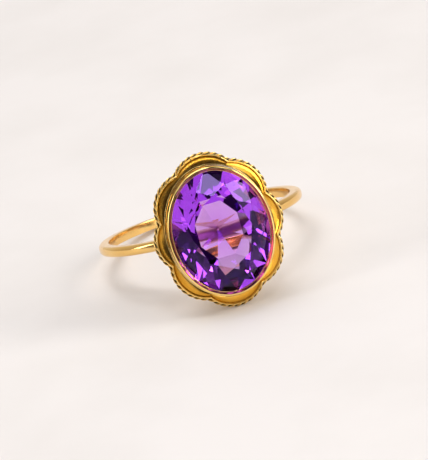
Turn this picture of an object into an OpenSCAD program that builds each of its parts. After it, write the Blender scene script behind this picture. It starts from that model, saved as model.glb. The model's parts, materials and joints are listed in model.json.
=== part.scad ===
// A cocktail ring: an oval faceted stone in a rubbed-over bezel, framed by a scalloped border with a
// rope edge, on a slim plain band. Millimetres. The ring lies on its side, as on a table: the head
// faces -Y and looks up a little, and the origin is the centre of the finger hole.

/* [Band] */
// Diameter of the finger hole
finger_d = 17.3; // [14:0.1:22]
// Radial thickness of the band
band_t = 1; // [0.8:0.05:2]
// Width of the band along the finger
band_w = 0.95; // [0.8:0.05:2.4]
// Rounding of the band's two outer edges
band_round = 0.38; // [0.1:0.01:0.39]
// Rounding of the band's two inner edges
band_ease = 0.08; // [0.04:0.01:0.12]

/* [Stone] */
// Length of the stone, along the finger
stone_l = 11.14; // [9.2:0.02:13.6]
// Width of the stone, across the finger
stone_w = 8.86; // [7.4:0.02:10.6]
// Height of the crown, from the girdle up to the table
crown_h = 1.35; // [1:0.05:2]
// Thickness of the girdle
girdle_t = 0.2; // [0.1:0.05:0.3]
// Depth of the pavilion, from the girdle down to its point
pavilion_h = 3.6; // [3:0.1:4.6]
// Size of the table as a share of the stone
table_share = 0.6; // [0.5:0.01:0.68]
// Gap between the stone's point and the band
culet_gap = 0.25; // [0.1:0.05:0.6]
// How far the head sits off the middle of the band's width
head_off = 0.4; // [0:0.05:0.5]

/* [Setting] */
// Thickness of the bezel's wall
bezel_t = 0.24; // [0.2:0.01:0.5]
// How far the bezel's lip reaches over the edge of the stone
lip_cover = 0.13; // [0.1:0.01:0.3]
// Width of the flat on the lip, inside the bevel
lip_w = 0.07; // [0.04:0.01:0.09]
// Thickness of the lip's edge
lip_t = 0.06; // [0.04:0.01:0.1]
// Height of the bezel's shoulder above the girdle
shoulder_h = 0.45; // [0.4:0.01:0.8]
// Depth of the bezel's wall below the girdle
bezel_drop = 1.35; // [1.1:0.05:1.8]
// Width of the bearing that the stone rests on
seat_t = 0.44; // [0.3:0.02:0.6]
// Thickness of the collet's wall
collet_t = 0.5; // [0.4:0.05:0.8]
// How far the collet's foot is drawn in from the edge of the stone
collet_taper = 1.8; // [1.4:0.1:1.9]
// Width of the rail under the collet
rail_w = 0.7; // [0.5:0.05:0.75]
// Height of the rail's top above the band
rail_rise = 0.3; // [0.2:0.05:0.6]
// How deep the rail is let into the band's top
saddle_depth = 0.1; // [0.06:0.01:0.2]

/* [Border] */
// How far each petal swells out past the notches beside it
petal_rise = 0.52; // [0.4:0.02:0.9]
// Width of the petals at the stone's ends as a share of an even width
end_share = 1.15; // [0.9:0.01:1.2]
// Width of the plate between the collar and the rim wire at a notch
notch_land = 0.22; // [0.04:0.02:0.4]
// Thickness of the border at its edge
border_t = 0.4; // [0.36:0.02:0.6]
// Thickness of the collar round the bezel
collar_t = 0.1; // [0.1:0.01:0.25]
// Height of the collar
collar_h = 0.62; // [0.5:0.02:0.9]
// Depth of the ball that hollows each petal, as a share of the border's thickness
hollow_share = 1.15; // [0.6:0.05:1.3]
// Diameter of the smooth rim wire
rim_d = 0.12; // [0.1:0.01:0.2]
// Diameter of the rope edge
rope_d = 0.27; // [0.2:0.01:0.34]

/* [Fits] */
// Clearance round the stone
stone_gap = 0.04; // [0.02:0.01:0.08]
// Film of solder between two joined pieces
solder_gap = 0.02; // [0.01:0.01:0.04]

/* [Hidden] */
$fn = 96;
fine = 180;
coarse = 24;
gold = [0.93, 0.72, 0.32];
deep_gold = [0.86, 0.62, 0.22];
purple = [0.45, 0.16, 0.72];

band_r = finger_d / 2 + band_t;

// The stone's outline is an oval of four arcs that flow into each other, laid out on a 3-4-5 triangle.
// An offset of it is the same four arcs with a longer or shorter radius, so every wall that follows it
// has an even thickness.
half_l = stone_l / 2;
half_w = stone_w / 2;
end_r = 1.5 * half_w - 0.5 * half_l;
side_r = 2 * half_l - half_w;
end_c = half_l - end_r;
side_c = side_r - half_w;
join_angle = atan2(3, 4);
wedge_reach = 3;

// Heights in the head, measured from the finger's axis
culet_z = band_r + culet_gap;
girdle_z = culet_z + pavilion_h;
crown_z = girdle_z + girdle_t;
base_z = girdle_z - bezel_drop;
rail_top = band_r + rail_rise;

// The stone is an eight-fold brilliant with a full, bellied pavilion: steep facets below the girdle and
// flatter ones round the point. Star_r and knee_r are the shares of the radius that the star facets'
// corners and the pavilion's knee lie at. The slopes are the steepest ones next to the girdle.
folds = 8;
half_fold = 180 / folds;
star_r = (1 + table_share * cos(half_fold)) / 2;
star_rise = crown_h * (1 - star_r * cos(half_fold)) / (1 - table_share);
crown_slope = star_rise / (half_w * (1 - star_r));
knee_r = 0.48;
knee_fall = 2 * pavilion_h / 3;
pavilion_slope = knee_fall / (half_w * (1 - knee_r) * cos(half_fold / 2));

// The stone itself is an ellipse, whose corners can stand a little outside the outline of four arcs. The
// long stones have the largest bulge, and the wall and the lip then keep half the gap clear of it.
function stands_out(x, y) = atan2(y - end_c, x) > join_angle ? norm([x, y - end_c]) - end_r
    : norm([x + side_c, y]) - side_r;
bulge = max([for (i = [0:folds / 2]) stands_out(half_w * cos(half_fold * i), half_l * sin(half_fold * i))]);

// Offsets from the stone's outline, outwards
wall_in = max(stone_gap, bulge + stone_gap / 2);
wall_out = wall_in + bezel_t;
collar_in = wall_out + solder_gap;
collar_out = collar_in + collar_t;
rail_out = -collet_taper;

// A petal's edge meets the next one at an angle, so the wires drawn in from it close up at the notch.
// The notch is set far enough out to leave the land between the collar and the rim wire's bead there.
bead_swell = 0.75 * solder_gap;
rim_inset = rope_d + solder_gap - rim_d / 4;
petal_run = ((side_r + collar_out) * join_angle + (end_r + collar_out) * (90 - join_angle)) * PI / 360;
meeting_angle = 2 * atan(2 * petal_rise / petal_run);
notch_out = collar_out + notch_land + rim_d / 2 + bead_swell + rim_inset / cos(meeting_angle);
petal_out = notch_out + petal_rise;

// Petals: sixteen stations round the oval, a petal's middle at each even one and a notch at each odd
// one. A quarter of the edge is four runs long, and what the end petals gain the side ones give up. A
// station is the direction that the edge faces there.
edge_mid = (notch_out + petal_out) / 2;
side_run = (side_r + edge_mid) * join_angle;
end_run = (end_r + edge_mid) * (90 - join_angle);
station_run = (side_run + end_run) / 4;
station = [0, 2 - end_share, 3 - end_share, 4 - end_share, 4] * station_run;
function facing_at(run) = run < side_run ? run / (side_r + edge_mid)
    : join_angle + (run - side_run) / (end_r + edge_mid);
function facing(k) = let (quarter = floor(k / 4), step = k - 4 * quarter)
    quarter % 2 == 0 ? 90 * quarter + facing_at(station[step])
    : 90 * (quarter + 1) - facing_at(station[4 - step]);

// A point of the oval where its edge faces angle, moved outwards by offset
function oval_point(angle, out) = let (c = cos(angle), s = sin(angle), steep = abs(c) < cos(join_angle))
    (steep ? [0, sign(s) * end_c] : [-sign(c) * side_c, 0]) + ((steep ? end_r : side_r) + out) * [c, s];

// The circle through three points
function circle_centre(p, q, r) = let (
    d = 2 * (p.x * (q.y - r.y) + q.x * (r.y - p.y) + r.x * (p.y - q.y)),
    pp = p * p, qq = q * q, rr = r * r)
    [pp * (q.y - r.y) + qq * (r.y - p.y) + rr * (p.y - q.y),
     pp * (r.x - q.x) + qq * (p.x - r.x) + rr * (q.x - p.x)] / d;

petals = 8;
petal_centre = [for (i = [0:petals - 1]) circle_centre(oval_point(facing(2 * i + 15), notch_out),
    oval_point(facing(2 * i), petal_out), oval_point(facing(2 * i + 1), notch_out))];
petal_r = [for (i = [0:petals - 1]) norm(oval_point(facing(2 * i), petal_out) - petal_centre[i])];

// The notch between petal i and the next one, where their edges cross when both are drawn in by inset
function notch(i, inset) = let (
    a = petal_centre[i % petals], b = petal_centre[(i + 1) % petals],
    ra = petal_r[i % petals] - inset, rb = petal_r[(i + 1) % petals] - inset,
    d = norm(b - a), along = (ra * ra - rb * rb + d * d) / (2 * d), u = (b - a) / d)
    a + along * u + sqrt(ra * ra - along * along) * [u.y, -u.x];

// The ring lies on the lowest petal and on the back of the band. Seen along X, the rope and the band's
// rounded edge are two circles, and the table is the line that touches both from below.
rope_z = base_z + rope_d / 2;
rest_reach = rope_z + band_r - band_round;
rest_drop = half_l + petal_out - rope_d / 2 - head_off - band_w / 2 + band_round;
lay_angle = atan2(rest_drop, rest_reach) + asin((rope_d / 2 - band_round) / norm([rest_drop, rest_reach]));

module lay_down() {
    rotate([-lay_angle, 0, 0]) children();
}

// The head is drawn with its length along Y and its face up, and then turned to face -Y
module head() {
    lay_down() translate([0, 0, head_off]) rotate([90, 0, 0]) children();
}

// One arc of the oval: a profile turned about the arc's centre and cut to the arc's wedge. Leg is the
// corner of a 3-4-5 triangle that the wedge's side runs through.
module arc_sweep(centre, r, leg) {
    translate([centre.x, centre.y, 0]) intersection() {
        rotate_extrude() translate([r, 0]) children();
        linear_extrude(2 * crown_z)
            polygon(wedge_reach * [[0, 0], leg, [0, 2 * norm(leg)], [-leg.x, leg.y]]);
    }
}

// Sweeps a flat profile round the oval. Its x is the offset from the stone's outline, its y the height.
module oval_sweep() {
    for (side = [0, 180]) {
        rotate(side - 90) arc_sweep([0, -side_c], side_r, [3, 4]) children();
        rotate(side) arc_sweep([0, end_c], end_r, [4, 3]) children();
    }
}

module oval(out) {
    polygon([for (angle = [0:3:357]) oval_point(angle, out)]);
}

// A round wire along the petals, drawn in by inset: one arc for each petal and a bead at each notch
module petals_wire(d, inset, z) {
    for (i = [0:petals - 1]) {
        from = notch(i + petals - 1, inset) - petal_centre[i];
        to = notch(i, inset) - petal_centre[i];
        start = atan2(from.y, from.x);
        turn = (atan2(to.y, to.x) - start + 720) % 360;
        translate([petal_centre[i].x, petal_centre[i].y, z]) rotate(start)
            rotate_extrude(angle = turn) translate([petal_r[i] - inset, 0]) circle(d = d, $fn = coarse);
        translate([notch(i, inset).x, notch(i, inset).y, z]) sphere(d / 2 + bead_swell, $fn = coarse);
    }
}

module shank() {
    inner_r = finger_d / 2;
    color(gold) lay_down() rotate_extrude($fn = fine) {
        translate([inner_r + band_ease, -band_w / 2]) square([band_t - band_ease - band_round, band_w]);
        translate([inner_r, band_ease - band_w / 2]) square([band_t - band_round, band_w - 2 * band_ease]);
        translate([inner_r + band_t / 2, band_round - band_w / 2])
            square([band_t / 2, band_w - 2 * band_round]);
        for (side = [-1, 1]) {
            translate([inner_r + band_ease, side * (band_w / 2 - band_ease)])
                circle(band_ease, $fn = coarse);
            translate([band_r - band_round, side * (band_w / 2 - band_round)])
                circle(band_round, $fn = 2 * coarse);
        }
    }
}

module gallery_rail() {
    rail_bottom = sqrt(band_r * band_r - pow(half_w + rail_out, 2)) - saddle_depth;
    color(deep_gold) head() difference() {
        oval_sweep() translate([rail_out - rail_w, rail_bottom]) square([rail_w, rail_top - rail_bottom]);
        translate([0, -head_off, 0]) rotate([90, 0, 0])
            cylinder(r = band_r + solder_gap, h = band_w + 2 * solder_gap, center = true, $fn = fine);
    }
}

// The wall thickens upwards, so that the bezel and the stone's seat both stand on its top
module collet() {
    foot = rail_top + solder_gap;
    top = base_z - solder_gap;
    top_t = 1.6 * collet_t;
    color(deep_gold) head() oval_sweep() polygon([
        [rail_out, foot], [wall_out, top], [wall_out - top_t, top], [rail_out - collet_t, foot]]);
}

module stone_seat() {
    outer = wall_in - solder_gap;
    bearing = girdle_z - stone_gap;
    fall = seat_t * pavilion_slope;
    color(deep_gold) head() oval_sweep() polygon([
        [outer, base_z], [outer, bearing], [outer - seat_t, bearing - fall], [outer - seat_t, base_z]]);
}

// Outer wall, rounded shoulder, inward bevel, thin lip on the stone and the inner wall behind it
module bezel_wall() {
    top = crown_z + shoulder_h;
    shoulder_r = 0.9 * bezel_t;
    lip_low = crown_z + max(stone_gap, bulge * crown_slope + stone_gap / 2) + lip_cover * crown_slope;
    outside = [for (a = [0:30:90]) [wall_out - shoulder_r * (1 - cos(a)), top - shoulder_r * (1 - sin(a))]];
    lip = [[lip_w - lip_cover, lip_low + 1.5 * lip_t], [-lip_cover, lip_low + lip_t], [-lip_cover, lip_low]];
    inside = [[wall_in, crown_z + stone_gap], [wall_in, base_z]];
    color(gold) head() oval_sweep() polygon(concat([[wall_out, base_z]], outside, lip, inside));
}

// A plate of petals, each hollowed by a ball, and a low collar that stands round the bezel
module scalloped_border() {
    top = base_z + border_t;
    hollow_depth = hollow_share * border_t;
    color(gold) head() difference() {
        union() {
            difference() {
                union() {
                    for (i = [0:petals - 1]) {
                        translate([petal_centre[i].x, petal_centre[i].y, base_z])
                            cylinder(r = petal_r[i] - rope_d - solder_gap, h = border_t);
                    }
                }
                for (i = [0:petals - 1]) {
                    hollow_r = petal_r[i] - rope_d - rim_d - 2 * solder_gap;
                    ball_r = (hollow_r * hollow_r + hollow_depth * hollow_depth) / (2 * hollow_depth);
                    translate([petal_centre[i].x, petal_centre[i].y, top + ball_r - hollow_depth])
                        sphere(ball_r, $fn = fine);
                }
            }
            translate([0, 0, base_z]) linear_extrude(collar_h) oval(collar_out);
        }
        translate([0, 0, base_z - border_t]) linear_extrude(collar_h + 2 * border_t) oval(collar_in);
    }
}

module rim_wire() {
    color(gold) head() petals_wire(rim_d, rim_inset, base_z + border_t + solder_gap + rim_d / 2);
}

module rope_edge() {
    color(deep_gold) head() petals_wire(rope_d, rope_d / 2, rope_z);
}

// A brilliant cut drawn on a circle of radius 1 and stretched to the oval, which keeps its facets flat
module amethyst() {
    n = folds;
    half = half_fold;
    step = 2 * half;
    function at(r, angle, z) = [half_w * r * cos(angle), half_l * r * sin(angle), z];
    table = [for (i = [0:n - 1]) at(table_share, step * i, crown_z + crown_h)];
    stars = [for (i = [0:n - 1]) at(star_r, step * i + half, crown_z + star_rise)];
    girdle_top = [for (i = [0:2 * n - 1]) at(1, half * i, crown_z)];
    girdle_low = [for (i = [0:2 * n - 1]) at(1, half * i, girdle_z)];
    knees = [for (i = [0:n - 1]) at(knee_r, step * i + half, girdle_z - knee_fall)];
    t = 0;
    s = n;
    g = 2 * n;
    h = 4 * n;
    p = 6 * n;
    culet = 7 * n;
    faces = concat(
        [[for (i = [n - 1:-1:0]) t + i]],
        [for (i = [0:n - 1]) let (j = (i + 1) % n) [t + i, t + j, s + i]],
        [for (i = [0:n - 1]) let (j = (i + n - 1) % n) [t + i, s + i, g + 2 * i, s + j]],
        [for (i = [0:n - 1]) [s + i, g + 2 * i + 1, g + 2 * i]],
        [for (i = [0:n - 1]) [s + i, g + (2 * i + 2) % (2 * n), g + 2 * i + 1]],
        [for (i = [0:2 * n - 1]) let (j = (i + 1) % (2 * n)) [g + i, g + j, h + j, h + i]],
        [for (i = [0:n - 1]) [p + i, h + 2 * i, h + 2 * i + 1]],
        [for (i = [0:n - 1]) [p + i, h + 2 * i + 1, h + (2 * i + 2) % (2 * n)]],
        [for (i = [0:n - 1]) let (j = (i + n - 1) % n) [p + i, p + j, h + 2 * i]],
        [for (i = [0:n - 1]) let (j = (i + n - 1) % n) [p + i, culet, p + j]]);
    color(purple) head()
        polyhedron(concat(table, stars, girdle_top, girdle_low, knees, [[0, 0, culet_z]]), faces);
}

shank();
gallery_rail();
collet();
stone_seat();
bezel_wall();
scalloped_border();
rim_wire();
rope_edge();
amethyst();
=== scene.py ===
"""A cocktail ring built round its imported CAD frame: oval amethyst, bezel, scalloped border, rope edge."""
import json
import math

import bpy
import numpy as np
from mathutils import Matrix, Vector


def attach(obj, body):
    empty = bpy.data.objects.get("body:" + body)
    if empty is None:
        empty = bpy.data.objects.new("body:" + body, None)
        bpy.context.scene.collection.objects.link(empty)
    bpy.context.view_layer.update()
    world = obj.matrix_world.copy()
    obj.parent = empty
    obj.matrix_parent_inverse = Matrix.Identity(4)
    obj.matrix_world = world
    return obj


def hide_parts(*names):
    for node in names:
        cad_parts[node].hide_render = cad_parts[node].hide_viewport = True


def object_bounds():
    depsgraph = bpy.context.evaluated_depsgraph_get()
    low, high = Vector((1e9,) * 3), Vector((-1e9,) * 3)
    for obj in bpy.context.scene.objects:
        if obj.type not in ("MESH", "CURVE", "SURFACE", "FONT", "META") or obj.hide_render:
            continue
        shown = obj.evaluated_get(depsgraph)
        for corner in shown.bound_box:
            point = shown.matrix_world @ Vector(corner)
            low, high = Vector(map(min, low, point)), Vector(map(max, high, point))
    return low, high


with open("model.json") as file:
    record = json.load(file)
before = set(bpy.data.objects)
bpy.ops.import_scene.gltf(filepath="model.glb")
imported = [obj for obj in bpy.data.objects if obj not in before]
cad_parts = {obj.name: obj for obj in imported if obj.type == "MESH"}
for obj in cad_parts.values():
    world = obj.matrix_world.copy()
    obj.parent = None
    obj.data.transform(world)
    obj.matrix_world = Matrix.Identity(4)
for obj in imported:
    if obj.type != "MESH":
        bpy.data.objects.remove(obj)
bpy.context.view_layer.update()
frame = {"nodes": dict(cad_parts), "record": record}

MM = 0.001
FULL_TURN = 2 * math.pi

# ---------------------------------------------------------------- sizes, in millimetres, as in the CAD
finger_d, band_t, band_w, band_round, band_ease = 17.3, 1.0, 0.95, 0.38, 0.08
half_l, half_w = 11.14 / 2, 8.86 / 2
crown_h, girdle_t, pavilion_h, table_share, culet_gap, head_off = 1.35, 0.2, 3.6, 0.6, 0.25, 0.4
bezel_t, lip_cover, shoulder_h, bezel_drop = 0.24, 0.13, 0.45, 1.35
seat_t, collet_t, collet_taper, rail_rise = 0.44, 0.5, 1.8, 0.3
petal_rise, end_share, notch_land, border_t, collar_t, collar_h = 0.52, 1.15, 0.22, 0.4, 0.1, 0.62
rim_d, rope_d, stone_gap, solder_gap = 0.12, 0.27, 0.04, 0.02
petals = 8

band_r = finger_d / 2 + band_t
culet_z = band_r + culet_gap
girdle_z = culet_z + pavilion_h
knee_r, knee_fall = 0.48, 2 * pavilion_h / 3
crown_z = girdle_z + girdle_t
base_z = girdle_z - bezel_drop
rail_top = band_r + rail_rise
wall_in = stone_gap
wall_out = wall_in + bezel_t
collar_in = wall_out + solder_gap
collar_out = collar_in + collar_t
border_top = base_z + border_t
rim_z = border_top + solder_gap + rim_d / 2
rope_z = base_z + rope_d / 2

# The oval that the petals are laid out on: four arcs on a 3-4-5 triangle
end_r, side_r = 1.5 * half_w - 0.5 * half_l, 2 * half_l - half_w
end_c, side_c = half_l - end_r, side_r - half_w
join_angle = math.degrees(math.atan2(3, 4))
rim_inset = rope_d + solder_gap - rim_d / 4
petal_run = ((side_r + collar_out) * join_angle + (end_r + collar_out) * (90 - join_angle)) * math.pi / 360
meeting_angle = 2 * math.atan(2 * petal_rise / petal_run)
notch_out = collar_out + notch_land + rim_d / 2 + 0.75 * solder_gap + rim_inset / math.cos(meeting_angle)
petal_out = notch_out + petal_rise

axis = frame["record"]["mounts"][0]["axis"]
lay = math.atan2(axis[1], axis[2])


def ring_frame():
    """From the ring's own frame, with the finger's axis upright, to the one it lies in."""
    return Matrix.Rotation(-lay, 4, "X")


def head_frame():
    """From the head's frame, with its length along Y and its face up, to the one it lies in."""
    return ring_frame() @ Matrix.Translation((0, 0, head_off * MM)) @ Matrix.Rotation(math.pi / 2, 4, "X")


# ---------------------------------------------------------------- nodes
class Link:
    """A node's output. Arithmetic on it adds Math nodes."""

    def __init__(self, net, node, socket):
        self.net, self.node, self.socket = net, node, socket

    def pick(self, name):
        return Link(self.net, self.node, self.node.outputs[name])

    def pick_id(self, identifier):
        return Link(self.net, self.node, next(s for s in self.node.outputs if s.identifier == identifier))

    def math(self, operation, *values):
        return self.net.add("ShaderNodeMath", {"operation": operation}, dict(enumerate(values)))

    def __add__(self, other): return self.math("ADD", self, other)
    def __radd__(self, other): return self.math("ADD", other, self)
    def __sub__(self, other): return self.math("SUBTRACT", self, other)
    def __rsub__(self, other): return self.math("SUBTRACT", other, self)
    def __mul__(self, other): return self.math("MULTIPLY", self, other)
    def __rmul__(self, other): return self.math("MULTIPLY", other, self)
    def __truediv__(self, other): return self.math("DIVIDE", self, other)
    def __pow__(self, other): return self.math("POWER", self, other)

    def clamp(self, low=0.0, high=1.0):
        return self.math("MINIMUM", self.math("MAXIMUM", self, low), high)


class Net:
    """A node tree, of a material or of Geometry Nodes, with one way to add a node."""

    def __init__(self, tree):
        self.tree = tree

    def add(self, kind, settings=None, sockets=None):
        node = self.tree.nodes.new(kind)
        for name, value in (settings or {}).items():
            if name == "stops":
                ramp = node.color_ramp
                while len(ramp.elements) > 1:
                    ramp.elements.remove(ramp.elements[-1])
                for i, (place, colour) in enumerate(value):
                    stop = ramp.elements[0] if i == 0 else ramp.elements.new(place)
                    stop.position, stop.color = place, (*colour, 1)
            else:
                setattr(node, name, value)
        for key, value in (sockets or {}).items():
            socket = self.socket(node, key)
            if isinstance(value, Link):
                self.tree.links.new(value.socket, socket)
            else:
                socket.default_value = value
        shown = [s for s in node.outputs if s.enabled]
        return Link(self, node, shown[0]) if shown else node

    @staticmethod
    def socket(node, key):
        if isinstance(key, int):
            return node.inputs[key]
        by_id = [s for s in node.inputs if s.identifier == key]
        return by_id[0] if by_id else next(s for s in node.inputs if s.name == key and s.enabled)

    def mix(self, share, a, b):
        """A colour from a to b."""
        return self.add("ShaderNodeMix", {"data_type": "RGBA"},
                        {"Factor_Float": share, "A_Color": a, "B_Color": b}).pick_id("Result_Color")


def rgba(red, green, blue):
    return (red, green, blue, 1.0)


# ---------------------------------------------------------------- materials
def new_material(name):
    material = bpy.data.materials.new(name)
    material.use_nodes = True
    material.node_tree.nodes.clear()
    return material, Net(material.node_tree)


def gold_finish(name, bright, deep, smooth, dull, ripple, scratch, tarnish_and_shade=None, matt_and_lit_from=None):
    """Polished gold: a little colour change, uneven polish, soft hand-worked ripples and fine scratches.
    Where the piece's own groove attribute is high the gold darkens: partly real oxide in the rope's
    crevices, and painted shade in the rope's crevices, the bezel's bevel and the petals' hollows. Forward of
    the given depth, where the head is soldered on, the gold is rougher and painted pale, which is painted
    light for the band that the head shades."""
    material, net = new_material(name)
    place = net.add("ShaderNodeTexCoord").pick("Object")
    cloud = net.add("ShaderNodeTexNoise", {}, {"Vector": place, "Scale": 420.0, "Detail": 3.0})
    grain = net.add("ShaderNodeTexNoise", {}, {"Vector": place, "Scale": 2600.0, "Detail": 4.0,
                                               "Roughness": 0.65})
    drawn = net.add("ShaderNodeMapping", {}, {"Vector": place, "Scale": (1.0, 9.0, 1.0),
                                              "Rotation": (0.3, 0.5, 0.7)})
    hair = net.add("ShaderNodeTexNoise", {}, {"Vector": drawn, "Scale": 1500.0, "Detail": 6.0,
                                              "Roughness": 0.7})
    worn = ((cloud - 0.35) * 2.2).clamp()
    colour = net.mix(worn, rgba(*deep), rgba(*bright))
    rough = smooth + (dull - smooth) * ((grain * 0.6 + hair * 0.4 - 0.3) * 2.5).clamp()
    # Darkens by the groove attribute: partly real oxide in the rope's crevices, partly painted shade in
    # creases and hollows.
    if tarnish_and_shade:
        groove = net.add("ShaderNodeAttribute", {"attribute_name": "groove"}).pick("Fac")
        stain_and_shade = (groove * (0.75 + 0.5 * grain)).clamp()
        colour = net.mix(stain_and_shade, colour, rgba(*tarnish_and_shade))
        rough = rough + stain_and_shade * 0.3
    # Painted light: forward of the given depth the band, shaded by the head, is painted pale; it is also
    # made rougher.
    if matt_and_lit_from:
        depth = -1.0 * net.add("ShaderNodeSeparateXYZ", {}, {"Vector": place}).pick("Y")
        matt_and_lit = ((depth - matt_and_lit_from) * 2000.0).clamp()
        colour = net.mix(matt_and_lit, colour, rgba(1.0, 0.84, 0.66))
        rough = rough + matt_and_lit * 0.4
    height = cloud * ripple + grain * (ripple * 0.12) + hair * scratch
    bump = net.add("ShaderNodeBump", {}, {"Height": height, "Distance": 1.0 * MM, "Strength": 1.0})
    shader = net.add("ShaderNodeBsdfPrincipled", {}, {
        "Base Color": colour, "Metallic": 1.0, "Roughness": rough, "Normal": bump})
    net.add("ShaderNodeOutputMaterial", {}, {"Surface": shader})
    return material


def stone_finish(name, light, dark, absorbed, density):
    """Clear violet quartz with faint bands of deeper colour."""
    material, net = new_material(name)
    place = net.add("ShaderNodeTexCoord").pick("Object")
    zone = net.add("ShaderNodeTexNoise", {}, {"Vector": place, "Scale": 260.0, "Detail": 1.0})
    colour = net.mix(((zone - 0.38) * 4.0).clamp(), rgba(*light), rgba(*dark))
    shader = net.add("ShaderNodeBsdfPrincipled", {}, {
        "Base Color": colour, "Roughness": 0.0, "IOR": 1.55, "Transmission Weight": 1.0,
        "Specular Tint": rgba(0.6, 0.4, 1.0)})
    depth = net.add("ShaderNodeVolumeAbsorption", {}, {"Color": rgba(*absorbed), "Density": density})
    net.add("ShaderNodeOutputMaterial", {}, {"Surface": shader, "Volume": depth})
    return material


def floor_finish(name, light, dark):
    """A pale matt floor that fades into the backdrop far away."""
    material, net = new_material(name)
    place = net.add("ShaderNodeTexCoord").pick("Object")
    cloud = net.add("ShaderNodeTexNoise", {}, {"Vector": place, "Scale": 60.0, "Detail": 5.0})
    colour = net.mix(((cloud - 0.4) * 3.0).clamp(), rgba(*light), rgba(*dark))
    bump = net.add("ShaderNodeBump", {}, {"Height": cloud, "Distance": 0.3 * MM, "Strength": 0.5})
    far = net.add("ShaderNodeVectorMath", {"operation": "LENGTH"}, {0: place}).pick("Value")
    shader = net.add("ShaderNodeBsdfPrincipled", {}, {
        "Base Color": colour, "Roughness": 0.7, "Alpha": ((0.55 - far) * 3.0).clamp(), "Normal": bump})
    net.add("ShaderNodeOutputMaterial", {}, {"Surface": shader})
    return material


# The dark colours given last are partly real oxide and partly painted shade for creases and hollows.
polished = gold_finish("polished_gold", (1.0, 0.74, 0.29), (0.97, 0.66, 0.20), 0.05, 0.12, 0.010, 0.0006,
                       tarnish_and_shade=(0.20, 0.09, 0.02))
petal_gold = gold_finish("petal_gold", (1.0, 0.75, 0.30), (0.97, 0.67, 0.20), 0.09, 0.19, 0.026, 0.0010,
                         tarnish_and_shade=(0.12, 0.05, 0.010))
rope_gold = gold_finish("rope_gold", (0.98, 0.70, 0.27), (0.92, 0.60, 0.18), 0.10, 0.22, 0.008, 0.0010,
                        tarnish_and_shade=(0.03, 0.013, 0.003))
# Its pale zone under the head is painted light for the band that the head shades.
band_gold = gold_finish("band_gold", (0.95, 0.64, 0.24), (0.89, 0.55, 0.17), 0.10, 0.22, 0.008, 0.0012,
                        matt_and_lit_from=8.2 * MM)
# Paler than the polished gold: painted light, so that the shaded collet, bearing and rail read lighter
# through the stone.
inner_gold = gold_finish("inner_gold", (0.95, 0.69, 0.34), (0.88, 0.60, 0.26), 0.20, 0.38, 0.012, 0.0015)
violet = stone_finish("violet_quartz", (0.96, 0.93, 1.0), (0.90, 0.84, 1.0), (0.70, 0.04, 0.99), 222.0)


# ---------------------------------------------------------------- Geometry Nodes
def geometry_tree(name, inputs):
    """A Geometry Nodes tree with a geometry in and out, and the named inputs: name, socket type, value."""
    tree = bpy.data.node_groups.new(name, "GeometryNodeTree")
    tree.interface.new_socket("Geometry", in_out="INPUT", socket_type="NodeSocketGeometry")
    for label, kind, value in inputs:
        socket = tree.interface.new_socket(label, in_out="INPUT", socket_type=kind)
        if value is not None:
            socket.default_value = value
    tree.interface.new_socket("Geometry", in_out="OUTPUT", socket_type="NodeSocketGeometry")
    net = Net(tree)
    return tree, net, net.add("NodeGroupInput")


def named(net, name, kind="FLOAT"):
    return net.add("GeometryNodeInputNamedAttribute", {"data_type": kind}, {"Name": name})


def vector(net, operation, *values):
    return net.add("ShaderNodeVectorMath", {"operation": operation}, dict(enumerate(values)))


def scaled(net, direction, length):
    return net.add("ShaderNodeVectorMath", {"operation": "SCALE"}, {"Vector": direction, "Scale": length})


def sweep_tree():
    """Sweeps a section along a closed rail. A rail point has out, the way its section faces, and reach; a
    section point has across, stretch, up and lift. A point stands across + stretch * reach out from the
    rail and up + lift * reach above it."""
    tree, net, given = geometry_tree("sweep_along_rail", [
        ("Section", "NodeSocketObject", None), ("Material", "NodeSocketMaterial", None)])
    section = net.add("GeometryNodeObjectInfo", {}, {"Object": given.pick("Section")}).pick("Geometry")
    section = net.add("GeometryNodeMeshToCurve", {}, {"Mesh": section})
    rail = net.add("GeometryNodeMeshToCurve", {}, {"Mesh": given.pick("Geometry")})
    rail = net.add("GeometryNodeStoreNamedAttribute", {"data_type": "FLOAT_VECTOR", "domain": "POINT"},
                   {"Geometry": rail, "Name": "rail_at", "Value": net.add("GeometryNodeInputPosition")})
    skin = net.add("GeometryNodeCurveToMesh", {}, {"Curve": rail, "Profile Curve": section})
    reach = named(net, "reach")
    sideways = named(net, "across") + named(net, "stretch") * reach
    upwards = named(net, "up") + named(net, "lift") * reach
    place = vector(net, "ADD", named(net, "rail_at", "FLOAT_VECTOR"),
                   scaled(net, named(net, "out", "FLOAT_VECTOR"), sideways))
    rise = net.add("ShaderNodeCombineXYZ", {}, {"Z": upwards})
    skin = net.add("GeometryNodeSetPosition", {}, {"Geometry": skin,
                                                   "Position": vector(net, "ADD", place, rise)})
    skin = net.add("GeometryNodeRealizeInstances", {}, {"Geometry": skin})
    skin = net.add("GeometryNodeSetMaterial", {}, {"Geometry": skin, "Material": given.pick("Material")})
    net.add("NodeGroupOutput", {}, {"Geometry": skin})
    return tree


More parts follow.
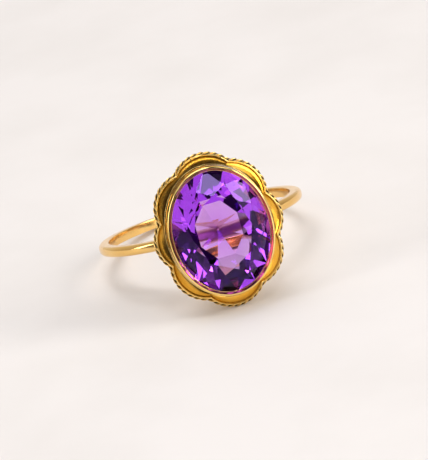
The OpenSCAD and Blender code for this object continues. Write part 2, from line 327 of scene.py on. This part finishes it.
def wire_tree():
    """Strands twisted round a closed path, with a bead at each path point that is marked for one."""
    tree, net, given = geometry_tree("wire_along_path", [
        ("Strands", "NodeSocketInt", 2), ("Strand radius", "NodeSocketFloat", 0.07 * MM),
        ("Twist radius", "NodeSocketFloat", 0.06 * MM), ("Turns", "NodeSocketInt", 36),
        ("Steps", "NodeSocketInt", 600), ("Sides", "NodeSocketInt", 12),
        ("Bead radius", "NodeSocketFloat", 0.1 * MM), ("Material", "NodeSocketMaterial", None)])
    path = given.pick("Geometry")
    curve = net.add("GeometryNodeMeshToCurve", {}, {"Mesh": path})
    curve = net.add("GeometryNodeResampleCurve", {}, {"Curve": curve, "Count": given.pick("Steps")})
    curve = net.add("GeometryNodeStoreNamedAttribute", {"data_type": "FLOAT_VECTOR", "domain": "POINT"},
                    {"Geometry": curve, "Name": "core", "Value": net.add("GeometryNodeInputPosition")})
    along = net.add("GeometryNodeSplineParameter").pick("Factor")
    curve = net.add("GeometryNodeStoreNamedAttribute", {"data_type": "FLOAT", "domain": "POINT"},
                    {"Geometry": curve, "Name": "along", "Value": along})
    side = vector(net, "CROSS_PRODUCT", net.add("GeometryNodeInputTangent"), (0.0, 0.0, 1.0))
    curve = net.add("GeometryNodeStoreNamedAttribute", {"data_type": "FLOAT_VECTOR", "domain": "POINT"},
                    {"Geometry": curve, "Name": "side", "Value": vector(net, "NORMALIZE", side)})
    copies = net.add("GeometryNodeDuplicateElements", {"domain": "SPLINE"},
                     {"Geometry": curve, "Amount": given.pick("Strands")})
    phase = copies.pick("Duplicate Index") / given.pick("Strands") * FULL_TURN
    angle = named(net, "along") * given.pick("Turns") * FULL_TURN + phase
    swing = given.pick("Twist radius")
    offset = vector(net, "ADD",
                    scaled(net, named(net, "side", "FLOAT_VECTOR"), angle.math("COSINE", angle) * swing),
                    net.add("ShaderNodeCombineXYZ", {}, {"Z": angle.math("SINE", angle) * swing}))
    strands = net.add("GeometryNodeSetPosition", {}, {"Geometry": copies.pick("Geometry"), "Offset": offset})
    ring = net.add("GeometryNodeCurvePrimitiveCircle", {}, {"Resolution": given.pick("Sides"),
                                                            "Radius": given.pick("Strand radius")})
    skin = net.add("GeometryNodeCurveToMesh", {}, {"Curve": strands, "Profile Curve": ring})
    core = named(net, "core", "FLOAT_VECTOR")
    spread = net.add("ShaderNodeVectorMath", {"operation": "DISTANCE"},
                     {0: net.add("GeometryNodeInputPosition"), 1: core}).pick("Value")
    outer = given.pick("Strand radius") + swing
    # Groove rises into the crevices between strands; the material darkens it there, partly real oxide and
    # partly painted shade.
    groove = ((1 - spread / outer) * 4.0 - 0.45).clamp()
    skin = net.add("GeometryNodeStoreNamedAttribute", {"data_type": "FLOAT", "domain": "POINT"},
                   {"Geometry": skin, "Name": "groove", "Value": groove})
    ball = net.add("GeometryNodeMeshUVSphere", {}, {"Segments": 20, "Rings": 12,
                                                    "Radius": given.pick("Bead radius")})
    marked = named(net, "bead")
    beads = net.add("GeometryNodeInstanceOnPoints", {}, {
        "Points": path, "Instance": ball, "Selection": marked.math("GREATER_THAN", marked, 0.5)})
    both = net.add("GeometryNodeJoinGeometry", {}, {"Geometry": beads})
    tree.links.new(skin.socket, both.node.inputs["Geometry"])
    both = net.add("GeometryNodeRealizeInstances", {}, {"Geometry": both})
    both = net.add("GeometryNodeSetMaterial", {}, {"Geometry": both, "Material": given.pick("Material")})
    net.add("NodeGroupOutput", {}, {"Geometry": both})
    return tree


def loop_object(name, points, attributes):
    """A closed line of points, in millimetres, with attributes on them."""
    count = len(points)
    mesh = bpy.data.meshes.new(name)
    mesh.from_pydata([Vector(p) * MM for p in points], [(i, (i + 1) % count) for i in range(count)], [])
    for label, values in attributes.items():
        kind = "FLOAT_VECTOR" if np.ndim(values) == 2 else "FLOAT"
        field = mesh.attributes.new(label, kind, "POINT")
        key = "vector" if kind == "FLOAT_VECTOR" else "value"
        field.data.foreach_set(key, np.asarray(values, np.float32).ravel())
    thing = bpy.data.objects.new(name, mesh)
    bpy.context.scene.collection.objects.link(thing)
    return thing


def solid_from(thing, tree, values, name, placed, crease=35.0):
    """Runs the tree on thing and keeps the result as a plain closed mesh, placed in the ring's frame."""
    modifier = thing.modifiers.new("build", "NODES")
    modifier.node_group = tree
    ids = {s.name: s.identifier for s in tree.interface.items_tree
           if s.item_type == "SOCKET" and s.in_out == "INPUT"}
    for label, value in values.items():
        modifier[ids[label]] = value
    bpy.context.view_layer.update()
    mesh = bpy.data.meshes.new_from_object(thing.evaluated_get(bpy.context.evaluated_depsgraph_get()))
    thing.modifiers.remove(modifier)
    mesh.name = name
    mesh.transform(placed)
    if volume_of(mesh) < 0:
        mesh.flip_normals()
    mesh.shade_smooth()
    mesh.set_sharp_from_angle(angle=math.radians(crease))
    piece = bpy.data.objects.new(name, mesh)
    bpy.context.scene.collection.objects.link(piece)
    bpy.data.objects.remove(thing)
    return piece


def volume_of(mesh):
    mesh.calc_loop_triangles()
    points = np.array([v.co for v in mesh.vertices])
    tri = np.array([t.vertices for t in mesh.loop_triangles])
    a, b, c = (points[tri[:, k]] for k in range(3))
    return float(np.einsum("ij,ij->i", a, np.cross(b, c)).sum()) / 6


def finish_piece(piece, stands_for):
    """Hangs a finished piece on the root body and hides the CAD part that it stands for."""
    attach(piece, "root")
    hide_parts(stands_for)


# ---------------------------------------------------------------- paths round the head
def ellipse_rail(count):
    """Points of the stone's girdle with the way out from each, in the head's frame."""
    turn = np.linspace(0, FULL_TURN, count, endpoint=False)
    points = np.stack([half_w * np.cos(turn), half_l * np.sin(turn), 0 * turn], -1)
    out = np.stack([half_l * np.cos(turn), half_w * np.sin(turn), 0 * turn], -1)
    out /= np.linalg.norm(out, axis=1)[:, None]
    return points, out


def oval_point(angle, out):
    """The point of the oval where its edge faces angle, moved outwards by out."""
    c, s = math.cos(math.radians(angle)), math.sin(math.radians(angle))
    if abs(c) < math.cos(math.radians(join_angle)):
        return np.array([0, math.copysign(end_c, s)]) + (end_r + out) * np.array([c, s])
    return np.array([-math.copysign(side_c, c), 0]) + (side_r + out) * np.array([c, s])


def facings():
    """The way that the petals' edge faces at its sixteen stations: a petal's middle, a notch, and so on."""
    middle = (notch_out + petal_out) / 2
    side_run, end_run = (side_r + middle) * join_angle, (end_r + middle) * (90 - join_angle)
    station = [s * (side_run + end_run) / 4 for s in (0, 2 - end_share, 3 - end_share, 4 - end_share, 4)]

    def faces(run):
        if run < side_run:
            return run / (side_r + middle)
        return join_angle + (run - side_run) / (end_r + middle)

    found = []
    for k in range(2 * petals):
        quarter, step = divmod(k, 4)
        found.append(90 * quarter + faces(station[step]) if quarter % 2 == 0
                     else 90 * (quarter + 1) - faces(station[4 - step]))
    return found


def circle_through(p, q, r):
    """The centre of the circle through three points."""
    rows = np.array([q - p, r - p]) * 2
    return np.linalg.solve(rows, np.array([q @ q - p @ p, r @ r - p @ p]))


faced = facings()
notches = [oval_point(faced[2 * i + 1], notch_out) for i in range(petals)]
peaks = [oval_point(faced[2 * i], petal_out) for i in range(petals)]
centres = [circle_through(notches[i - 1], peaks[i], notches[i]) for i in range(petals)]
radii = [float(np.linalg.norm(peaks[i] - centres[i])) for i in range(petals)]


def notch(i, inset):
    """Where petals i and i + 1 cross when both are drawn in by inset."""
    a, b = centres[i % petals], centres[(i + 1) % petals]
    ra, rb = radii[i % petals] - inset, radii[(i + 1) % petals] - inset
    d = float(np.linalg.norm(b - a))
    along = (ra * ra - rb * rb + d * d) / (2 * d)
    u = (b - a) / d
    return a + along * u + math.sqrt(ra * ra - along * along) * np.array([u[1], -u[0]])


def petal_path(inset, z, per_petal, rounding):
    """The closed line along the petals, drawn in by inset; rounding softens the corners at the notches."""
    points, marks = [], []
    for i in range(petals):
        a, b = notch(i - 1, inset) - centres[i], notch(i, inset) - centres[i]
        start, stop = math.atan2(a[1], a[0]), math.atan2(b[1], b[0])
        stop += FULL_TURN if stop < start else 0
        for k in range(per_petal):
            t = start + (stop - start) * k / per_petal
            points.append(centres[i] + (radii[i] - inset) * np.array([math.cos(t), math.sin(t)]))
            marks.append(1.0 if k == 0 else 0.0)
    points = np.array(points)
    for _ in range(rounding):
        points = points * 0.5 + (np.roll(points, 1, 0) + np.roll(points, -1, 0)) * 0.25
    length = float(np.linalg.norm(points - np.roll(points, 1, 0), axis=1).sum())
    return np.column_stack([points, np.full(len(points), z)]), marks, length


def reach_to_petals(points, out, inset):
    """How far it is from each rail point, straight out, to the petals' edge drawn in by inset."""
    best = np.zeros(len(points))
    for centre, r in zip(centres, radii):
        gap = points[:, :2] - centre
        b = (gap * out[:, :2]).sum(1)
        c = (gap * gap).sum(1) - (r - inset) ** 2
        inside = b * b - c
        best = np.maximum(best, np.where(inside > 0, -b + np.sqrt(np.maximum(inside, 0)), 0))
    return best


# ---------------------------------------------------------------- swept walls
sweep = sweep_tree()
wire = wire_tree()


def arc(cx, cy, r, start, stop, steps):
    """Points of an arc in a section, angles in degrees."""
    return [(cx + r * math.cos(math.radians(start + (stop - start) * k / steps)),
             cy + r * math.sin(math.radians(start + (stop - start) * k / steps))) for k in range(steps + 1)]


def swept(name, rail, section, material, placed, crease=35.0):
    """A closed wall. Each section point is (across, up) or (across, up, stretch, lift, groove)."""
    points, out, reach = rail
    full = np.array([tuple(p) + (0.0,) * (5 - len(p)) for p in section], float)
    profile = loop_object(name + "_section", np.column_stack([full[:, 0], full[:, 1], 0 * full[:, 0]]), {
        "across": full[:, 0] * MM, "up": full[:, 1] * MM, "stretch": full[:, 2], "lift": full[:, 3],
        "groove": full[:, 4]})
    thing = loop_object(name + "_rail", points, {"out": out, "reach": reach * MM})
    piece = solid_from(thing, sweep, {"Section": profile, "Material": material}, name, placed, crease)
    bpy.data.objects.remove(profile)
    return piece


head = head_frame()
girdle, girdle_out = ellipse_rail(384)
plain = (girdle, girdle_out, np.zeros(len(girdle)))

# Bezel: upright wall, full round shoulder, inward bevel, thin burnished lip
shoulder_r, lip_r, edge = 0.16, 0.04, 0.03
shoulder_top = crown_z + shoulder_h
lip_edge = crown_z + stone_gap + lip_cover * 0.9
lip_low = lip_edge - 0.01
# The bevel's points: across, how far below the shoulder's top, groove; the groove paints shade into the
# bevel, most at its foot by the lip
bevel = [(0.07, 0.03, 0.15), (0.03, 0.085, 0), (-0.01, 0.14, 0), (-0.045, 0.18, 0.45)]
bezel_section = (
    [(wall_in, base_z), (wall_out - edge, base_z), (wall_out, base_z + edge)]
    + [(wall_out, z) for z in np.linspace(base_z + 0.3, shoulder_top - shoulder_r, 4)]
    + arc(wall_out - shoulder_r, shoulder_top - shoulder_r, shoulder_r, 8, 100, 10)
    + [(across, shoulder_top - below, 0, 0, groove) for across, below, groove in bevel]
    + arc(-lip_cover + 0.045, lip_edge + 0.035, lip_r, 60, 190, 6)
    + [(-lip_cover + 0.01, lip_low), (-lip_cover + 0.05, lip_low), (wall_in, crown_z + stone_gap)])
bezel = swept("bezel", plain, bezel_section, polished, head, 28)
finish_piece(bezel, "bezel_wall")

# Collet: the tapered wall under the head, its edges eased
ease = 0.06
foot_z, top_z = rail_top + solder_gap, base_z - solder_gap
foot_in, top_in = -collet_taper - collet_t, wall_out - 1.6 * collet_t
collet_section = [
    (-collet_taper, foot_z + ease), (wall_out - 0.02, top_z - ease), (wall_out - 0.03, top_z - 0.02),
    (wall_out - ease - 0.02, top_z), (top_in + ease, top_z), (top_in, top_z - ease),
    (foot_in, foot_z + ease), (foot_in + ease, foot_z),
    (-collet_taper - ease, foot_z), (-collet_taper - 0.015, foot_z + 0.02)]
collet = swept("collet_wall", plain, collet_section, inner_gold, head, 50)
finish_piece(collet, "collet")

# The bearing that the stone sits on
seat_out = wall_in - solder_gap
seat_in = seat_out - seat_t
bearing = girdle_z - stone_gap
fall = seat_t * 1.1 * pavilion_h / half_w
seat_section = [
    (seat_out, base_z + 0.02), (seat_out, bearing - 0.02), (seat_out - 0.02, bearing - 0.03),
    (seat_in + 0.02, bearing - fall), (seat_in, bearing - fall - 0.02),
    (seat_in, base_z + 0.03), (seat_in + 0.03, base_z), (seat_out - 0.02, base_z)]
seat = swept("bearing", plain, seat_section, inner_gold, head, 50)
finish_piece(seat, "stone_seat")

# Border: a low collar, and petals that dish between it and the rim wire
rim_points, rim_out = ellipse_rail(1536)
reach = reach_to_petals(rim_points, rim_out, rope_d + solder_gap)
cove_steps, cove_rise, dish, rim_foot, collar_r = 12, 0.17, 0.46, 0.06, 0.035
collar_top = base_z + collar_h
cove = []
for k in range(cove_steps + 1):
    v = k / cove_steps
    dip = (1 - v * v) ** 0.85
    # Painted shade and dark reflection in the petals' hollows: darker next to the collar and just inside the
    # rim.
    stain_and_shade = max(0.0, 1 - v * 7) * 0.9 + max(0.0, v * 6 - 5) * 0.5
    cove.append((collar_out * (1 - v) - rim_foot * v, border_top + 0.02 + cove_rise * dip,
                 v, -dish * dip, stain_and_shade))
border_section = (
    [(collar_in, base_z), (collar_in, collar_top - 0.02), (collar_in + 0.02, collar_top)]
    + arc(collar_out - collar_r, collar_top - collar_r, collar_r, 80, 0, 4)
    + cove
    + [(-0.03, border_top, 1, 0), (0.0, border_top - 0.04, 1, 0), (0.0, base_z + 0.05, 1, 0),
       (-0.05, base_z, 1, 0)])
border = swept("petals", (rim_points, rim_out, reach), border_section, petal_gold, head, 40)
finish_piece(border, "scalloped_border")


# ---------------------------------------------------------------- wires on the petals
def wire_piece(name, inset, z, rounding, values, stands_for, crease, lead=None):
    """A wire along the petals. Lead is the length that its strands take for one full turn."""
    points, marks, length = petal_path(inset, z, 120, rounding)
    thing = loop_object(name + "_path", points, {"bead": marks})
    if lead:
        values["Turns"] = round(length / lead)
    piece = solid_from(thing, wire, values, name, head, crease)
    finish_piece(piece, stands_for)
    return piece


rim = wire_piece("rim", rim_inset, rim_z, 6, {
    "Strands": 1, "Strand radius": 0.072 * MM, "Twist radius": 0.0, "Turns": 1, "Steps": 960, "Sides": 14,
    "Bead radius": 0.1 * MM, "Material": polished}, "rim_wire", 60)
rope = wire_piece("rope", rope_d / 2, rope_z + 0.03, 40, {
    "Strands": 2, "Strand radius": 0.082 * MM, "Twist radius": 0.080 * MM, "Steps": 1500, "Sides": 12,
    "Bead radius": 0.0, "Material": rope_gold}, "rope_edge", 80, lead=1.24)

# ---------------------------------------------------------------- band
turn = np.linspace(0, FULL_TURN, 360, endpoint=False)
hoop_out = np.stack([np.cos(turn), np.sin(turn), 0 * turn], -1)
inner_r = finger_d / 2
hoop = (hoop_out * inner_r, hoop_out, np.zeros(len(turn)))
band_section = (
    arc(band_ease, band_ease - band_w / 2, band_ease, 180, 270, 4)
    + arc(band_t - band_round, band_round - band_w / 2, band_round, -90, 0, 10)
    + arc(band_t - band_round, band_w / 2 - band_round, band_round, 0, 90, 10)
    + arc(band_ease, band_w / 2 - band_ease, band_ease, 90, 180, 4))
band = swept("band", hoop, band_section, band_gold, ring_frame(), 60)
finish_piece(band, "shank")


# ---------------------------------------------------------------- stone
def brilliant():
    """An eight-fold brilliant cut on a circle of radius 1, stretched to the oval, its facets flat."""
    n, half = 8, math.pi / 8
    star_r = (1 + table_share * math.cos(half)) / 2
    star_rise = crown_h * (1 - star_r * math.cos(half)) / (1 - table_share)

    def at(r, angle, z):
        return (half_w * r * math.cos(angle), half_l * r * math.sin(angle), z)

    points = ([at(table_share, 2 * half * i, crown_z + crown_h) for i in range(n)]
              + [at(star_r, 2 * half * i + half, crown_z + star_rise) for i in range(n)]
              + [at(1, half * i, crown_z) for i in range(2 * n)]
              + [at(1, half * i, girdle_z) for i in range(2 * n)]
              + [at(knee_r, 2 * half * i + half, girdle_z - knee_fall) for i in range(n)]
              + [(0, 0, culet_z)])
    s, g, h, p, culet = n, 2 * n, 4 * n, 6 * n, 7 * n
    faces = [tuple(range(n))]
    for i in range(n):
        j, b = (i + 1) % n, (i - 1) % n
        faces += [(i, s + i, j), (i, s + b, g + 2 * i, s + i), (s + i, g + 2 * i, g + 2 * i + 1),
                  (s + i, g + 2 * i + 1, g + (2 * i + 2) % (2 * n)),
                  (p + i, h + 2 * i + 1, h + 2 * i), (p + i, h + (2 * i + 2) % (2 * n), h + 2 * i + 1),
                  (p + i, h + 2 * i, p + b), (p + i, p + b, culet)]
    faces += [(g + i, h + i, h + (i + 1) % (2 * n), g + (i + 1) % (2 * n)) for i in range(2 * n)]
    return points, faces


points, faces = brilliant()
mesh = bpy.data.meshes.new("stone")
mesh.from_pydata([Vector(p) * MM for p in points], [], faces)
mesh.transform(head)
if volume_of(mesh) < 0:
    mesh.flip_normals()
mesh.materials.append(violet)
stone = bpy.data.objects.new("stone", mesh)
bpy.context.scene.collection.objects.link(stone)
finish_piece(stone, "amethyst")

# The saddled rail keeps its CAD shape
rail = frame["nodes"]["gallery_rail"]
rail.data.materials.clear()
rail.data.materials.append(inner_gold)

# ---------------------------------------------------------------- floor, light and camera
visual_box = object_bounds()
floor_z = visual_box[0].z
floor_mesh = bpy.data.meshes.new("floor")
wide = 3.0
floor_mesh.from_pydata([(-wide, -wide, floor_z), (wide, -wide, floor_z), (wide, wide, floor_z),
                        (-wide, wide, floor_z)], [], [(0, 1, 2, 3)])
floor_mesh.materials.append(floor_finish("pale_floor", (0.785, 0.75, 0.735), (0.735, 0.70, 0.68)))
floor = bpy.data.objects.new("floor", floor_mesh)
bpy.context.scene.collection.objects.link(floor)


def aimed(name, data, place, target):
    """An object at place that faces target."""
    thing = bpy.data.objects.new(name, data)
    thing.location = place
    thing.rotation_euler = (Vector(target) - Vector(place)).to_track_quat("-Z", "Y").to_euler()
    bpy.context.scene.collection.objects.link(thing)
    return thing


def softbox(name, place, size, power, colour):
    light = bpy.data.lights.new(name, "AREA")
    light.shape, light.size, light.size_y = "RECTANGLE", size[0], size[1]
    light.energy, light.color = power, colour
    aimed(name, light, place, (0, 0, 0))


def dark_card(name, place, target, size, shade):
    """A card that only reflections see."""
    material, net = new_material(name)
    shader = net.add("ShaderNodeEmission", {}, {"Color": rgba(*shade), "Strength": 1.0})
    net.add("ShaderNodeOutputMaterial", {}, {"Surface": shader})
    w, h = size[0] / 2, size[1] / 2
    mesh = bpy.data.meshes.new(name)
    mesh.from_pydata([(-w, -h, 0), (w, -h, 0), (w, h, 0), (-w, h, 0)], [], [(0, 1, 2, 3)])
    mesh.materials.append(material)
    thing = aimed(name, mesh, place, target)
    for ray in ("camera", "diffuse", "shadow", "volume_scatter"):
        setattr(thing, "visible_" + ray, False)


world = bpy.data.worlds.new("studio")
bpy.context.scene.world = world
world.use_nodes = True
world.node_tree.nodes.clear()
net = Net(world.node_tree)
# The room is dark in front, where a viewer stands, and lighter behind
toward = net.add("ShaderNodeTexCoord").pick("Generated")
behind = net.add("ShaderNodeSeparateXYZ", {}, {"Vector": toward}).pick("Y")
sky = net.add("ShaderNodeValToRGB", {"stops": [
    (0.0, (0.02, 0.017, 0.022)), (0.25, (0.07, 0.065, 0.075)), (0.5, (0.37, 0.34, 0.32)),
    (1.0, (0.74, 0.70, 0.64))]}, {"Fac": behind * 0.5 + 0.5})
room = net.add("ShaderNodeBackground", {}, {"Color": sky, "Strength": 1.0})
backdrop = net.add("ShaderNodeBackground", {}, {"Color": rgba(0.90, 0.87, 0.84), "Strength": 1.0})
seen = net.add("ShaderNodeLightPath").pick("Is Camera Ray")
net.add("ShaderNodeOutputWorld", {}, {"Surface": net.add("ShaderNodeMixShader", {}, {
    0: seen, 1: room, 2: backdrop})})

focus = Vector((0.288, -5.943, 1.333)) * MM
camera_right = Vector((0.95022919, -0.21495835, -0.22551583))
camera_up = Vector((0.29087406, 0.35279697, 0.88934053))
camera_back = camera_right.cross(camera_up)
lens_data = bpy.data.cameras.new("camera")
lens_data.sensor_width = 36.0
lens_data.lens = 303.4
lens_data.clip_start, lens_data.clip_end = 0.01, 20.0
camera = bpy.data.objects.new("camera", lens_data)
camera.matrix_world = Matrix.Translation(focus + camera_back * 0.35) @ Matrix(
    (camera_right, camera_up, camera_back)).transposed().to_4x4()
bpy.context.scene.collection.objects.link(camera)
bpy.context.scene.camera = camera
bpy.context.scene.view_settings.view_transform = "Standard"

# Each soft box: name, place, size, power and colour
boxes = [
    ("overhead", (-0.06, 0.13, 0.58), (0.38, 0.34), 1.55, (0.98, 0.985, 1.0)),
    ("left_strip", (-0.50, -0.02, 0.22), (0.10, 0.34), 0.70, (1.0, 0.98, 0.95)),
    ("window", (0.067, -0.175, 0.57), (0.11, 0.11), 0.32, (0.93, 0.97, 1.0)),
    ("right_panel", (0.42, -0.20, 0.24), (0.20, 0.28), 1.45, (1.0, 0.97, 0.92)),
    ("front_right", (0.28, -0.40, 0.104), (0.30, 0.20), 0.30, (1.0, 0.98, 0.96)),
    ("front_left", (-0.40, -0.32, 0.12), (0.06, 0.30), 0.10, (1.0, 0.98, 0.96)),
    ("front_low", (0.05, -0.50, 0.03), (0.36, 0.045), 0.045, (1.0, 0.98, 0.96)),
    ("upper_left", (-0.227, -0.227, 0.383), (0.14, 0.14), 0.15, (0.86, 0.91, 1.0)),
    ("upper_right", (0.227, -0.227, 0.383), (0.14, 0.14), 0.17, (0.86, 0.91, 1.0))]
for box in boxes:
    softbox(*box)
dark_card("card_front", Vector((-0.01, -0.30, 0.19)), focus, (0.20, 0.26), (0.012, 0.008, 0.016))
